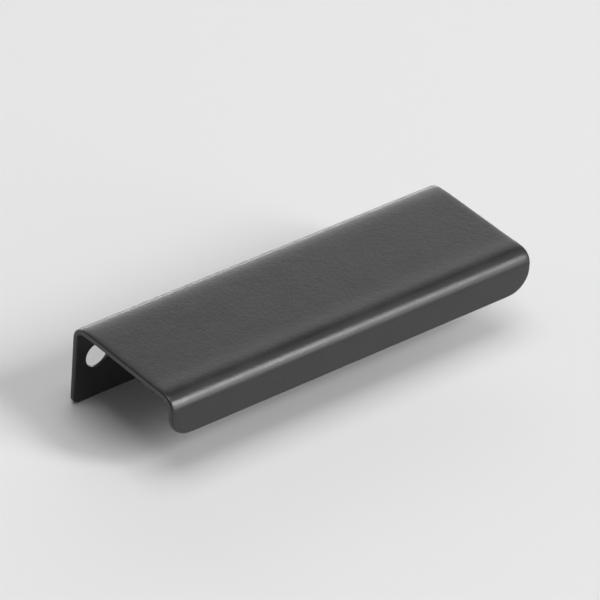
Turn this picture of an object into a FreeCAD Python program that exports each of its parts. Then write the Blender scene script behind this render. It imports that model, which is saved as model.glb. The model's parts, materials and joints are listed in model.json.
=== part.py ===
import FreeCAD, Part
import math
import os

# Tab pull folded from one piece of coated sheet.
# X runs along the door edge, +Y to the back of the door, +Z up, in millimetres.
# The origin is midway between the two screw holes, on the flange face that meets the door.

# Driving dimensions
DEPTH = 38.0              # back of the flange to front of the lip
SHEET = 1.6               # thickness of the sheet with its coat
BEND_INNER = 2.3          # inside radius of both folds
BACK_EASE = 3.6           # stretch of the top face that curves gently into the back fold
FRONT_EASE = 2.0          # the same at the front fold
EASE_RADIUS = 24.0        # radius of those gentle curves, on the outside
FLANGE_HEIGHT = 23.0      # top face down to the foot of the flange
LIP_HEIGHT = 11.0         # top face down to the foot of the lip
FLANGE_CORNER = 1.8       # radius of the flange's two lower corners
LIP_CORNER = 5.8          # radius of the lip's two lower corners
EDGE_ROUND = 0.5          # softening of every cut edge
HOLE_SPACING = 96.0       # between the centres of the screw holes
HOLE_INSET = 6.5          # each end of the pull to its hole centre
HOLE_DROP = 11.0          # top face down to the hole centres
HOLE_DIAMETER = 6.5       # straight part of each hole
HOLE_LAND = 0.7           # depth of the straight part, from the door side
SINK_ANGLE = 90.0         # included angle of the countersink on the back
RIM_ROUND = 0.2           # softening of the hole rims

# Positions that follow from them
LENGTH = HOLE_SPACING + 2 * HOLE_INSET
END = LENGTH / 2
HOLE_X = HOLE_SPACING / 2
BEND_OUTER = BEND_INNER + SHEET
EASE_OFFSET = EASE_RADIUS - BEND_OUTER
BACK_TURN = math.asin(BACK_EASE / EASE_RADIUS)
FRONT_TURN = math.asin(FRONT_EASE / EASE_RADIUS)
TOP = HOLE_DROP
UNDERSIDE = TOP - SHEET
EASE_Z = TOP - EASE_RADIUS
BACK_BEND_Z = EASE_Z + EASE_OFFSET * math.cos(BACK_TURN)
FRONT_BEND_Z = EASE_Z + EASE_OFFSET * math.cos(FRONT_TURN)
FLANGE_FOOT = TOP - FLANGE_HEIGHT
LIP_FOOT = TOP - LIP_HEIGHT
BACK = SHEET
FRONT = BACK - DEPTH
LIP_INSIDE = FRONT + SHEET
BACK_BEND_Y = BACK - BEND_OUTER
FRONT_BEND_Y = FRONT + BEND_OUTER
BACK_EASE_Y = BACK_BEND_Y - EASE_OFFSET * math.sin(BACK_TURN)
FRONT_EASE_Y = FRONT_BEND_Y + EASE_OFFSET * math.sin(FRONT_TURN)
SINK_SLOPE = math.tan(math.radians(SINK_ANGLE / 2))
SINK_RADIUS = HOLE_DIAMETER / 2 + (SHEET - HOLE_LAND) * SINK_SLOPE

TO_BACK = 1               # the way a fold turns off the top face
TO_FRONT = -1
TOLERANCE = 1e-4          # for telling one edge from another
SMOOTH = 0.9              # cosine above which two faces run on without a cut edge


def at_end(y, z):
    return FreeCAD.Vector(-END, y, z)


def line(start, finish):
    return Part.makeLine(at_end(*start), at_end(*finish))


def arc(y, z, radius, way, start, finish):
    """Arc of the section about y and z, between two angles off the top face, turning to back or front."""
    points = []
    for angle in (start, (start + finish) / 2, finish):
        points.append(at_end(y + way * radius * math.sin(angle), z + radius * math.cos(angle)))
    return Part.Arc(*points).toShape()


def fold(ease_y, bend_y, bend_z, turn, way, depth):
    """A gentle curve off the top face, then the fold itself, at a depth inside the outer face."""
    gentle = arc(ease_y, EASE_Z, EASE_RADIUS - depth, way, 0, turn)
    tight = arc(bend_y, bend_z, BEND_OUTER - depth, way, turn, math.pi / 2)
    return [gentle, tight]


def section():
    """Closed outline of the folded sheet, seen from its end."""
    edges = [
        line((BACK, FLANGE_FOOT), (BACK, BACK_BEND_Z)),
        line((BACK_EASE_Y, TOP), (FRONT_EASE_Y, TOP)),
        line((FRONT, FRONT_BEND_Z), (FRONT, LIP_FOOT)),
        line((FRONT, LIP_FOOT), (LIP_INSIDE, LIP_FOOT)),
        line((LIP_INSIDE, LIP_FOOT), (LIP_INSIDE, FRONT_BEND_Z)),
        line((FRONT_EASE_Y, UNDERSIDE), (BACK_EASE_Y, UNDERSIDE)),
        line((0.0, BACK_BEND_Z), (0.0, FLANGE_FOOT)),
        line((0.0, FLANGE_FOOT), (BACK, FLANGE_FOOT)),
    ]
    for depth in (0.0, SHEET):
        edges += fold(BACK_EASE_Y, BACK_BEND_Y, BACK_BEND_Z, BACK_TURN, TO_BACK, depth)
        edges += fold(FRONT_EASE_Y, FRONT_BEND_Y, FRONT_BEND_Z, FRONT_TURN, TO_FRONT, depth)
    return Part.Face(Part.Wire(Part.__sortEdges__(edges)))


def folded_sheet():
    return section().extrude(FreeCAD.Vector(LENGTH, 0, 0))


def corner_edges(body, foot):
    """The two short edges that cross the sheet at the ends of a foot."""
    picked = []
    for edge in body.Edges:
        middle = edge.CenterOfMass
        on_end = abs(abs(middle.x) - END) < TOLERANCE
        on_foot = abs(middle.z - foot) < TOLERANCE
        if on_end and on_foot:
            picked.append(edge)
    return picked


def with_corners(body):
    body = body.makeFillet(FLANGE_CORNER, corner_edges(body, FLANGE_FOOT))
    return body.makeFillet(LIP_CORNER, corner_edges(body, LIP_FOOT))


def normal_at(face, point):
    u, v = face.Surface.parameter(point)
    return face.normalAt(u, v)


def cut_edges(body):
    """The edges where the sheet's cut side meets its faces, not the smooth lines along a fold."""
    picked = []
    for edge in body.Edges:
        middle = edge.valueAt((edge.FirstParameter + edge.LastParameter) / 2)
        first, second = body.ancestorsOfType(edge, Part.Face)
        if normal_at(first, middle).dot(normal_at(second, middle)) < SMOOTH:
            picked.append(edge)
    return picked


def with_soft_edges(body):
    return body.makeFillet(EDGE_ROUND, cut_edges(body))


def hole(x):
    """Straight part from the door side, then a countersink that opens to the back."""
    into_flange = FreeCAD.Vector(0, 1, 0)
    radius = HOLE_DIAMETER / 2
    straight = Part.makeCylinder(radius, SHEET, FreeCAD.Vector(x, 0, 0), into_flange)
    start = FreeCAD.Vector(x, HOLE_LAND, 0)
    sink = Part.makeCone(radius, SINK_RADIUS, SHEET - HOLE_LAND, start, into_flange)
    return straight.fuse(sink)


def rim_edges(body):
    """The round edges of the holes in the flange's two faces."""
    picked = []
    for edge in body.Edges:
        if not isinstance(edge.Curve, Part.Circle):
            continue
        centre = edge.Curve.Center
        on_axis = abs(abs(centre.x) - HOLE_X) < TOLERANCE and abs(centre.z) < TOLERANCE
        on_face = abs(centre.y) < TOLERANCE or abs(centre.y - BACK) < TOLERANCE
        if on_axis and on_face:
            picked.append(edge)
    return picked


def with_holes(body):
    for x in (-HOLE_X, HOLE_X):
        body = body.cut(hole(x))
    return body.makeFillet(RIM_ROUND, rim_edges(body))


def pull_body():
    body = with_corners(folded_sheet())
    body = with_soft_edges(body)
    body = with_holes(body)
    return body.Solids[0]


os.makedirs("parts", exist_ok=True)
pull_body().exportStep("parts/pull_body.step")
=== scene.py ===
import json
import math
import bmesh
import bpy
from mathutils import Matrix, Vector


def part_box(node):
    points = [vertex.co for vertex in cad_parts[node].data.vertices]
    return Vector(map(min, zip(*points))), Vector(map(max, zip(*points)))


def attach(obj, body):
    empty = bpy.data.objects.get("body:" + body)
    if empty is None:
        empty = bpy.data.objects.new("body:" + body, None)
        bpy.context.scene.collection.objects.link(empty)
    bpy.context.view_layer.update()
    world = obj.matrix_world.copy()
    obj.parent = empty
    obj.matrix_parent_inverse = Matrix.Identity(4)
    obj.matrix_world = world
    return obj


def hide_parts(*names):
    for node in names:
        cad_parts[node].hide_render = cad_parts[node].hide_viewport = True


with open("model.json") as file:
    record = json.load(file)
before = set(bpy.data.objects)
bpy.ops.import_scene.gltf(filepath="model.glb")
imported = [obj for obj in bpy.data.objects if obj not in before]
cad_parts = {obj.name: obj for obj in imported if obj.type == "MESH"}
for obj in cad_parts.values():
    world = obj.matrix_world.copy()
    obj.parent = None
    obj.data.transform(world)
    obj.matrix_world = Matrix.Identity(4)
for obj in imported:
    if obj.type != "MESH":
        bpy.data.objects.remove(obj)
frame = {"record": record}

# Tab pull on a plain pale floor, in the part's own frame, in metres.
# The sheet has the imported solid's form, divided finely so that light runs smoothly round its folds.
MM = 0.001
QUARTER_TURN = math.pi / 2
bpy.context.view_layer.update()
LOW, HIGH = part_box("pull_body")
MIDDLE = (LOW + HIGH) / 2
FIXING = next(mount["dims"] for mount in frame["record"]["mounts"] if mount["name"] == "fixing_holes")

# Sizes of the folded sheet, in millimetres, with the flange's face towards the door at y = 0
END = HIGH.x / MM              # half the length
TOP = HIGH.z / MM
BACK = HIGH.y / MM             # back face of the flange
FRONT = LOW.y / MM             # front face of the lip
FLANGE_FOOT = LOW.z / MM
LIP_FOOT = 0.0
SHEET = BACK                   # thickness
FLANGE_CORNER = 1.8
LIP_CORNER = 5.8
EDGE_ROUND = 0.5
HALF = END - EDGE_ROUND        # half the length of the faces, between the rounded cut edges
ROLL_TILT = math.radians(20)   # how far shearing bent the outer face over at its two ends
ROLL_LENGTH = 0.55             # length over which that dies away
FOLD_RADIUS = 3.65             # outside of both folds
BACK_FADE = 1.65               # length over which the back fold's curve dies away into the top
FRONT_FADE = 0.9               # the same at the front fold
BACK_REACH = 10.0              # length of the back fold's fade, after which the top is flat
FRONT_REACH = 11.0             # the same at the front fold
DISH_TILT = math.radians(2.0)  # steepest rise of the top towards the front fold
DISH_PLACE = 3.7               # length from the start of that fold's fade to the steepest place
DISH_POWER = 6                 # how narrow the rise is
HOLE_X = FIXING["spacing_x_mm"] / 2
HOLE_RADIUS = FIXING["hole_r_mm"]
HOLE_LAND = 0.7                # straight part of the hole, next to the door
RIM_ROUND = 0.2
SINK_SLOPE = math.radians(45)  # of the countersink against the back face
SINK_RADIUS = HOLE_RADIUS + (SHEET - HOLE_LAND) / math.tan(SINK_SLOPE)

# Fineness of its mesh
FOLD_STEP = 1.5                # degrees
FADE_STEPS = 40
CORNER_STEPS = 14
EDGE_STEPS = 6
LOW_FLANGE_STEPS = 4           # between the flange's lower corner and the square round a hole
HIGH_FLANGE_STEPS = 3          # between that square and the back fold
TOP_STEPS = 8
LIP_STEPS = 3                  # between the front fold and the lip's lower corner
LONG_STEPS = 26                # along the length, between the holes
END_STEPS = 4                  # between a hole's square and the end
HOLE_PATCH = 5.2               # half the side of a hole's square, in millimetres
PATCH_STEPS = 16               # along each of its four sides
PATCH_RINGS = 4                # between it and the hole
RING_START = math.radians(-135)    # direction from the hole to the square's first corner
SINK_RIM_STEPS = 3
DOOR_RIM_STEPS = 4
CREASE = 0.02                  # half width of the sharp edge between countersink and hole, in millimetres

# Camera, read from the photograph's edges
CAMERA_AZIMUTH = -41.63        # degrees, from looking along +Y
CAMERA_ELEVATION = 35.04       # degrees above the floor
CAMERA_ROLL = 4.53             # degrees, the camera's top leaning left
CAMERA_DISTANCE = 1260.0 * MM
CAMERA_REACH = 10 * CAMERA_DISTANCE
CAMERA_LENS = 320.4            # millimetres, on a 36 mm sensor
AIM_RIGHT = -1.40 * MM         # from the middle of the top face, across the picture
AIM_UP = -3.20 * MM            # and up it

# Satin black coat
COAT_COLOUR = (0.014, 0.014, 0.0143, 1)
COAT_MOTTLE = (0.017, 0.017, 0.0174, 1)
COAT_IOR = 1.5
GLOSSY = 0.32                  # least and greatest roughness
MATT = 0.37
NOISE_LOW = 0.35               # range of a noise over which colour and gloss change
NOISE_HIGH = 0.65
MOTTLE_SIZE = 9.0 * MM         # patches of slightly paler, duller coat
MOTTLE_DETAIL = 3.0
PEEL_SIZE = 0.75 * MM          # dimples of the orange peel
PEEL_DETAIL = 2.0
PEEL_HEIGHT = 0.030 * MM
WAVE_SIZE = 2.4 * MM           # longer waves under the dimples
WAVE_DETAIL = 1.0
WAVE_HEIGHT = 0.014 * MM

# Studio
FLOOR_SIZE = 6.0
FLOOR_COLOUR = (0.70, 0.70, 0.70, 1)
FLOOR_GLOSS = 0.0
HORIZON = (0.74, 0.74, 0.74, 1)
OVERHEAD = (0.06, 0.06, 0.06, 1)
HORIZON_EDGE = 0.08            # sines of the elevations between which the pale horizon fades
HORIZON_END = 0.20
LAMP_DISTANCE = 5.0

# Softboxes: degrees round from +Y towards +X, degrees up, width and height in degrees,
# and brightness of the face
LAMPS = {
    "key": (147.5, 35.5, 12, 26, 24),
    "key_low": (152, 11.5, 14, 21, 7.4),
    "key_high": (110, 53, 46, 16, 0.8),
    "back": (38, 3.5, 60, 7, 8.0),
    "back_high": (38, 23, 60, 20, 1.88),
    "back_left": (-40, 8, 60, 16, 1.6),
    "above": (0, 90, 40, 40, 3.2),
}


class Station:
    """A line from end to end of the sheet, at one place of its section.

    The angle turns its outer side from up towards the back. Across and along are the parts, along X
    and along the section, of the direction in which the sheet ends there.
    """

    def __init__(self, y, z, angle, half=HALF, across=1.0, along=0.0):
        self.place = Vector((0, y, z))
        self.out = Vector((0, math.sin(angle), math.cos(angle)))
        self.ahead = Vector((0, -math.cos(angle), math.sin(angle)))
        self.half = half
        self.across = across
        self.along = along

    def tilt(self, x):
        """How far the outer face is bent over at x, near the ends."""
        return ROLL_TILT * math.exp((abs(x) - self.half - EDGE_ROUND) / ROLL_LENGTH)

    def point(self, x, depth):
        """Point at a depth under the outer face."""
        drop = self.tilt(x) * ROLL_LENGTH * (1 - depth / SHEET)
        return self.place - self.out * (depth + drop) + Vector((x, 0, 0))

    def normal(self, x, facing):
        """Normal of the outer face, where facing is 1, or of the inner one, where it is -1."""
        if facing < 0:
            return -self.out
        return self.out + self.edge(math.copysign(1, x)) * math.tan(self.tilt(x))

    def edge(self, side):
        """Direction out of the sheet, in its own plane, at its left or right edge."""
        return Vector((side * self.across, 0, 0)) + self.ahead * self.along


def dish(reach):
    """Share of the steepest rise at a length from the start of the fold's fade."""
    part = reach / DISH_PLACE
    return (part * math.exp(1 - part)) ** DISH_POWER


def fold_path(fade, flat_after, dish_tilt=0.0):
    """Steps of a fold from the upright side to the top: run inwards, rise and angle left to turn."""
    fading = fade / FOLD_RADIUS
    steps = math.ceil(math.degrees(QUARTER_TURN - fading) / FOLD_STEP)
    path = []
    for step in range(steps + 1):
        angle = QUARTER_TURN + (fading - QUARTER_TURN) * step / steps
        path.append((FOLD_RADIUS * (1 - math.sin(angle)), FOLD_RADIUS * math.cos(angle), angle))
    run, rise, angle = path[-1]
    gone = 0.0
    for step in range(1, FADE_STEPS + 1):
        reach = flat_after * (step / FADE_STEPS) ** 2
        turned = fading * math.exp(-reach / fade) - dish_tilt * dish(reach)
        middle = (angle + turned) / 2
        run += (reach - gone) * math.cos(middle)
        rise += (reach - gone) * math.sin(middle)
        path.append((run, rise, turned))
        gone, angle = reach, turned
    path[-1] = (run, rise, 0.0)
    return path


def corner_stations(foot, radius, way, y):
    """Stations of a rounded lower corner, from the foot up; way is 1 on the flange and -1 on the lip."""
    stations = []
    inside = radius - EDGE_ROUND
    for step in range(CORNER_STEPS + 1):
        turn = QUARTER_TURN * step / CORNER_STEPS
        z = foot + radius - inside * math.cos(turn)
        half = END - radius + inside * math.sin(turn)
        stations.append(Station(y, z, way * QUARTER_TURN, half, math.sin(turn), -way * math.cos(turn)))
    return stations


def flat_stations(first, last, steps, angle):
    """Stations between two places on a flat of the section, without its ends."""
    stations = []
    for step in range(1, steps):
        y = first[0] + (last[0] - first[0]) * step / steps
        z = first[1] + (last[1] - first[1]) * step / steps
        stations.append(Station(y, z, angle))
    return stations


def section():
    """Stations from the flange's foot over the top to the lip's foot, and where a hole's square begins."""
    back = fold_path(BACK_FADE, BACK_REACH)
    front = fold_path(FRONT_FADE, FRONT_REACH, DISH_TILT)
    front_z = TOP - max(rise for run, rise, angle in front)
    flat_z = front_z + front[-1][1]
    back_z = flat_z - back[-1][1]
    flat_from = BACK - back[-1][0]
    flat_to = FRONT + front[-1][0]
    flange_corner = (BACK, FLANGE_FOOT + FLANGE_CORNER)
    lip_corner = (FRONT, LIP_FOOT + LIP_CORNER)
    rows = corner_stations(FLANGE_FOOT, FLANGE_CORNER, 1, BACK)
    rows += flat_stations(flange_corner, (BACK, -HOLE_PATCH), LOW_FLANGE_STEPS, QUARTER_TURN)
    patch_row = len(rows)
    for step in range(PATCH_STEPS + 1):
        rows.append(Station(BACK, HOLE_PATCH * (2 * step / PATCH_STEPS - 1), QUARTER_TURN))
    rows += flat_stations((BACK, HOLE_PATCH), (BACK, back_z), HIGH_FLANGE_STEPS, QUARTER_TURN)
    rows += [Station(BACK - run, back_z + rise, angle) for run, rise, angle in back]
    rows += flat_stations((flat_from, flat_z), (flat_to, flat_z), TOP_STEPS, 0.0)
    rows += [Station(FRONT + run, front_z + rise, -angle) for run, rise, angle in reversed(front)]
    rows += flat_stations((FRONT, front_z), lip_corner, LIP_STEPS, -QUARTER_TURN)
    rows += reversed(corner_stations(LIP_FOOT, LIP_CORNER, -1, FRONT))
    return rows, patch_row


def columns():
    """Places along the length as parts of the half length, and where the two holes' squares begin."""
    near, far = HOLE_X - HOLE_PATCH, HOLE_X + HOLE_PATCH
    side = [near + (far - near) * step / PATCH_STEPS for step in range(PATCH_STEPS + 1)]
    side += [far + (HALF - far) * step / END_STEPS for step in range(1, END_STEPS + 1)]
    middle = [near * (2 * step / LONG_STEPS - 1) for step in range(1, LONG_STEPS)]
    xs = [-x for x in reversed(side)] + middle + side
    return [x / HALF for x in xs], (END_STEPS, END_STEPS + PATCH_STEPS + LONG_STEPS)


class SheetMesh:
    """Collects the points, their exact normals and the faces of the folded sheet."""

    def __init__(self):
        self.points, self.normals, self.faces = [], [], []

    def add(self, point, normal):
        self.points.append(point * MM)
        self.normals.append(normal)
        return len(self.points) - 1

    def join(self, first, second, closed=True):
        """Faces between two rows of points."""
        count = len(first) if closed else len(first) - 1
        for step in range(count):
            after = (step + 1) % len(first)
            self.faces.append((first[step], first[after], second[after], second[step]))


def face_grid(mesh, rows, parts, patch_row, patch_columns, depth, facing):
    """One face of the sheet as rows of points, with the squares round the holes left open."""
    grid = []
    for station in rows:
        line = []
        for part in parts:
            x = part * station.half
            line.append(mesh.add(station.point(x, depth), station.normal(x, facing)))
        grid.append(line)
    for row in range(len(rows) - 1):
        for column in range(len(parts) - 1):
            in_rows = patch_row <= row < patch_row + PATCH_STEPS
            in_columns = any(start <= column < start + PATCH_STEPS for start in patch_columns)
            if not (in_rows and in_columns):
                mesh.join(grid[row][column:column + 2], grid[row + 1][column:column + 2], closed=False)
    return grid


def rim(rows, parts):
    """Round the sheet's edge: station, place along it and direction outwards for each point."""
    first, last = rows[0], rows[-1]
    left = [(station, -station.half, station.edge(-1)) for station in rows]
    lip = [(last, part * last.half, last.ahead) for part in parts[1:-1]]
    right = [(station, station.half, station.edge(1)) for station in reversed(rows)]
    foot = [(first, part * first.half, -first.ahead) for part in reversed(parts[1:-1])]
    return left + lip + right + foot


def grid_rim(grid):
    """The points of one face in the same order as its rim."""
    left = [row[0] for row in grid]
    right = [row[-1] for row in reversed(grid)]
    return left + grid[-1][1:-1] + right + list(reversed(grid[0][1:-1]))


def edge_profile():
    """Round over the cut edge: depth, reach outwards, and the normal's parts outwards and upwards."""
    start = ROLL_TILT * math.exp(-EDGE_ROUND / ROLL_LENGTH)
    profile = []
    for step in range(1, EDGE_STEPS + 1):
        turn = start + (QUARTER_TURN - start) * step / EDGE_STEPS
        depth = EDGE_ROUND * (math.cos(start) - math.cos(turn))
        reach = EDGE_ROUND * (math.sin(turn) - math.sin(start)) / (1 - math.sin(start))
        profile.append((depth, reach, math.sin(turn), math.cos(turn)))
    for step in range(EDGE_STEPS):
        turn = QUARTER_TURN * (1 - step / EDGE_STEPS)
        depth = SHEET - EDGE_ROUND * (1 - math.cos(turn))
        profile.append((depth, EDGE_ROUND * math.sin(turn), math.sin(turn), -math.cos(turn)))
    return profile


def close_edge(mesh, rows, parts, outer, inner):
    """The softened cut edge between the two faces."""
    around = rim(rows, parts)
    before = grid_rim(outer)
    for depth, reach, outward, upward in edge_profile():
        ring = []
        for station, x, direction in around:
            normal = direction * outward + station.out * upward
            ring.append(mesh.add(station.point(x, depth) + direction * reach, normal))
        mesh.join(before, ring)
        before = ring
    mesh.join(before, grid_rim(inner))


def hole_profile():
    """From the back face into the hole: radius, depth, and the normal's parts inwards and to the back."""
    lead = SINK_RADIUS + RIM_ROUND * math.tan(SINK_SLOPE / 2)
    profile = []
    for step in range(SINK_RIM_STEPS + 1):
        turn = SINK_SLOPE * step / SINK_RIM_STEPS
        radius = lead - RIM_ROUND * math.sin(turn)
        depth = RIM_ROUND * (1 - math.cos(turn))
        profile.append((radius, depth, math.sin(turn), math.cos(turn)))
    crease = SHEET - HOLE_LAND
    radius = HOLE_RADIUS + CREASE / math.tan(SINK_SLOPE)
    profile.append((radius, crease - CREASE, math.sin(SINK_SLOPE), math.cos(SINK_SLOPE)))
    profile.append((HOLE_RADIUS, crease + CREASE, 1.0, 0.0))
    for step in range(DOOR_RIM_STEPS + 1):
        turn = QUARTER_TURN * step / DOOR_RIM_STEPS
        radius = HOLE_RADIUS + RIM_ROUND * (1 - math.cos(turn))
        depth = SHEET - RIM_ROUND * (1 - math.sin(turn))
        profile.append((radius, depth, math.cos(turn), -math.sin(turn)))
    return profile


def hole_ring(mesh, x, radius, depth, inward, outward):
    """A ring of points of the hole at x, in the order of its square's four sides."""
    ring = []
    count = 4 * PATCH_STEPS
    for step in range(count):
        turn = RING_START + 2 * math.pi * step / count
        radial = Vector((math.cos(turn), 0, math.sin(turn)))
        centre = Vector((x, BACK - depth, 0))
        ring.append(mesh.add(centre + radial * radius, Vector((0, outward, 0)) - radial * inward))
    return ring


def square_loop(grid, row, column):
    """Points round the square of a hole, from its corner with the least row and column."""
    last_row, last_column = row + PATCH_STEPS, column + PATCH_STEPS
    loop = [grid[row][step] for step in range(column, last_column)]
    loop += [grid[step][last_column] for step in range(row, last_row)]
    loop += [grid[last_row][step] for step in range(last_column, column, -1)]
    loop += [grid[step][column] for step in range(last_row, row, -1)]
    return loop


def square_to_ring(mesh, loop, ring, normal):
    """Faces of a flat patch between the square and the hole's rim, in rings of their own."""
    before = loop
    for step in range(1, PATCH_RINGS):
        share = step / PATCH_RINGS
        between = []
        for outer, inner in zip(loop, ring):
            point = mesh.points[outer].lerp(mesh.points[inner], share) / MM
            between.append(mesh.add(point, normal))
        mesh.join(before, between)
        before = between
    mesh.join(before, ring)


def cut_hole(mesh, x, outer, inner, row, column):
    """The countersunk hole between the two faces' squares."""
    rings = [hole_ring(mesh, x, *values) for values in hole_profile()]
    square_to_ring(mesh, square_loop(outer, row, column), rings[0], Vector((0, 1, 0)))
    for first, second in zip(rings, rings[1:]):
        mesh.join(first, second)
    square_to_ring(mesh, square_loop(inner, row, column), rings[-1], Vector((0, -1, 0)))


def folded_sheet():
    """The whole sheet: two faces, the cut edge round them and the two holes."""
    rows, patch_row = section()
    parts, patch_columns = columns()
    mesh = SheetMesh()
    outer = face_grid(mesh, rows, parts, patch_row, patch_columns, 0.0, 1)
    inner = face_grid(mesh, rows, parts, patch_row, patch_columns, SHEET, -1)
    close_edge(mesh, rows, parts, outer, inner)
    for x, column in zip((-HOLE_X, HOLE_X), patch_columns):
        cut_hole(mesh, x, outer, inner, patch_row, column)
    return mesh


def mesh_data(name, mesh):
    """Blender mesh with all faces turned outwards and the exact normals."""
    data = bpy.data.meshes.new(name)
    data.from_pydata(mesh.points, [], mesh.faces)
    shape = bmesh.new()
    shape.from_mesh(data)
    bmesh.ops.recalc_face_normals(shape, faces=shape.faces)
    shape.to_mesh(data)
    shape.free()
    data.shade_smooth()
    data.normals_split_custom_set_from_vertices([normal.normalized() for normal in mesh.normals])
    return data


def make_pull():
    data = mesh_data("pull_sheet", folded_sheet())
    data.materials.append(black_coat())
    pull = bpy.data.objects.new("pull_sheet", data)
    bpy.context.scene.collection.objects.link(pull)
    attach(pull, "root")
    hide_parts("pull_body")


def new_material(name):
    material = bpy.data.materials.new(name)
    material.use_nodes = True
    return material, material.node_tree.nodes["Principled BSDF"]


def noise(tree, place, size, detail):
    """Noise of a given size in the part's own coordinates."""
    node = tree.nodes.new("ShaderNodeTexNoise")
    node.inputs["Scale"].default_value = 1 / size
    node.inputs["Detail"].default_value = detail
    tree.links.new(place, node.inputs["Vector"])
    return node.outputs["Fac"]


def colour_ramp(tree, source, low, high):
    """Colour between two stops, each a value of the source and its colour."""
    node = tree.nodes.new("ShaderNodeValToRGB")
    for element, (value, colour) in zip(node.color_ramp.elements, (low, high)):
        element.position = value
        element.color = colour
    tree.links.new(source, node.inputs["Fac"])
    return node.outputs["Color"]


def value_range(tree, source, low, high):
    """Value from low to high over the middle of a noise's range."""
    node = tree.nodes.new("ShaderNodeMapRange")
    node.inputs["From Min"].default_value = NOISE_LOW
    node.inputs["From Max"].default_value = NOISE_HIGH
    node.inputs["To Min"].default_value = low
    node.inputs["To Max"].default_value = high
    tree.links.new(source, node.inputs["Value"])
    return node.outputs["Result"]


def bump(tree, height, distance, under=None):
    """Relief of a given height, on top of another where there is one."""
    node = tree.nodes.new("ShaderNodeBump")
    node.inputs["Distance"].default_value = distance
    tree.links.new(height, node.inputs["Height"])
    if under is not None:
        tree.links.new(under, node.inputs["Normal"])
    return node.outputs["Normal"]


def black_coat():
    """Satin black powder coat with a fine orange peel."""
    material, shader = new_material("satin_black_coat")
    tree = material.node_tree
    shader.inputs["IOR"].default_value = COAT_IOR
    place = tree.nodes.new("ShaderNodeTexCoord").outputs["Object"]
    mottle = noise(tree, place, MOTTLE_SIZE, MOTTLE_DETAIL)
    colour = colour_ramp(tree, mottle, (NOISE_LOW, COAT_COLOUR), (NOISE_HIGH, COAT_MOTTLE))
    waves = bump(tree, noise(tree, place, WAVE_SIZE, WAVE_DETAIL), WAVE_HEIGHT)
    peel = bump(tree, noise(tree, place, PEEL_SIZE, PEEL_DETAIL), PEEL_HEIGHT, waves)
    tree.links.new(colour, shader.inputs["Base Color"])
    tree.links.new(value_range(tree, mottle, GLOSSY, MATT), shader.inputs["Roughness"])
    tree.links.new(peel, shader.inputs["Normal"])
    return material


def make_floor():
    bpy.ops.mesh.primitive_plane_add(size=FLOOR_SIZE, location=(MIDDLE.x, MIDDLE.y, LOW.z))
    floor = bpy.context.object
    floor.name = "floor"
    material, shader = new_material("pale_floor")
    shader.inputs["Base Color"].default_value = FLOOR_COLOUR
    shader.inputs["Specular IOR Level"].default_value = FLOOR_GLOSS
    floor.data.materials.append(material)


def make_world():
    """Room light that is pale at the horizon and dimmer overhead."""
    world = bpy.data.worlds.new("studio")
    bpy.context.scene.world = world
    world.use_nodes = True
    tree = world.node_tree
    axes = tree.nodes.new("ShaderNodeSeparateXYZ")
    tree.links.new(tree.nodes.new("ShaderNodeTexCoord").outputs["Generated"], axes.inputs["Vector"])
    shade = colour_ramp(tree, axes.outputs["Z"], (HORIZON_EDGE, HORIZON), (HORIZON_END, OVERHEAD))
    tree.links.new(shade, tree.nodes["Background"].inputs["Color"])


def placed(right, up, back, place):
    """Matrix of an object that looks along -back from its place."""
    return Matrix.Translation(place) @ Matrix((right, up, back)).transposed().to_4x4()


def lamp_size(degrees):
    """Side of a lamp that looks as wide as these degrees from the pull."""
    return 2 * LAMP_DISTANCE * math.tan(math.radians(degrees) / 2)


def softbox(name, azimuth, elevation, wide, tall, radiance):
    """Rectangular lamp that faces the pull, with a given brightness of its face."""
    data = bpy.data.lights.new(name, "AREA")
    data.shape = "RECTANGLE"
    data.size = lamp_size(wide)
    data.size_y = lamp_size(tall)
    data.energy = radiance * data.size * data.size_y * math.pi
    lamp = bpy.data.objects.new(name, data)
    bpy.context.scene.collection.objects.link(lamp)
    lamp.visible_camera = False
    around = math.radians(azimuth)
    rise = math.radians(elevation)
    back = Vector((math.sin(around) * math.cos(rise), math.cos(around) * math.cos(rise), math.sin(rise)))
    right = Vector((-math.cos(around), math.sin(around), 0))
    lamp.matrix_world = placed(right, back.cross(right), back, MIDDLE + back * LAMP_DISTANCE)


def camera_axes():
    """Right, up and back of the camera in the part's frame."""
    azimuth = math.radians(CAMERA_AZIMUTH)
    elevation = math.radians(CAMERA_ELEVATION)
    back = Vector((
        math.sin(azimuth) * math.cos(elevation),
        -math.cos(azimuth) * math.cos(elevation),
        math.sin(elevation),
    ))
    level = Vector((math.cos(azimuth), math.sin(azimuth), 0.0))
    turn = Matrix.Rotation(math.radians(CAMERA_ROLL), 3, back)
    right = turn @ level
    return right, back.cross(right), back


def make_camera():
    right, up, back = camera_axes()
    data = bpy.data.cameras.new("camera")
    data.lens = CAMERA_LENS
    data.clip_end = CAMERA_REACH
    camera = bpy.data.objects.new("camera", data)
    bpy.context.scene.collection.objects.link(camera)
    aim = Vector((MIDDLE.x, MIDDLE.y, HIGH.z)) + right * AIM_RIGHT + up * AIM_UP
    camera.matrix_world = placed(right, up, back, aim + back * CAMERA_DISTANCE)
    bpy.context.scene.camera = camera


make_pull()
make_floor()
make_world()
for name, values in LAMPS.items():
    softbox(name, *values)
make_camera()
bpy.context.scene.view_settings.view_transform = "Standard"
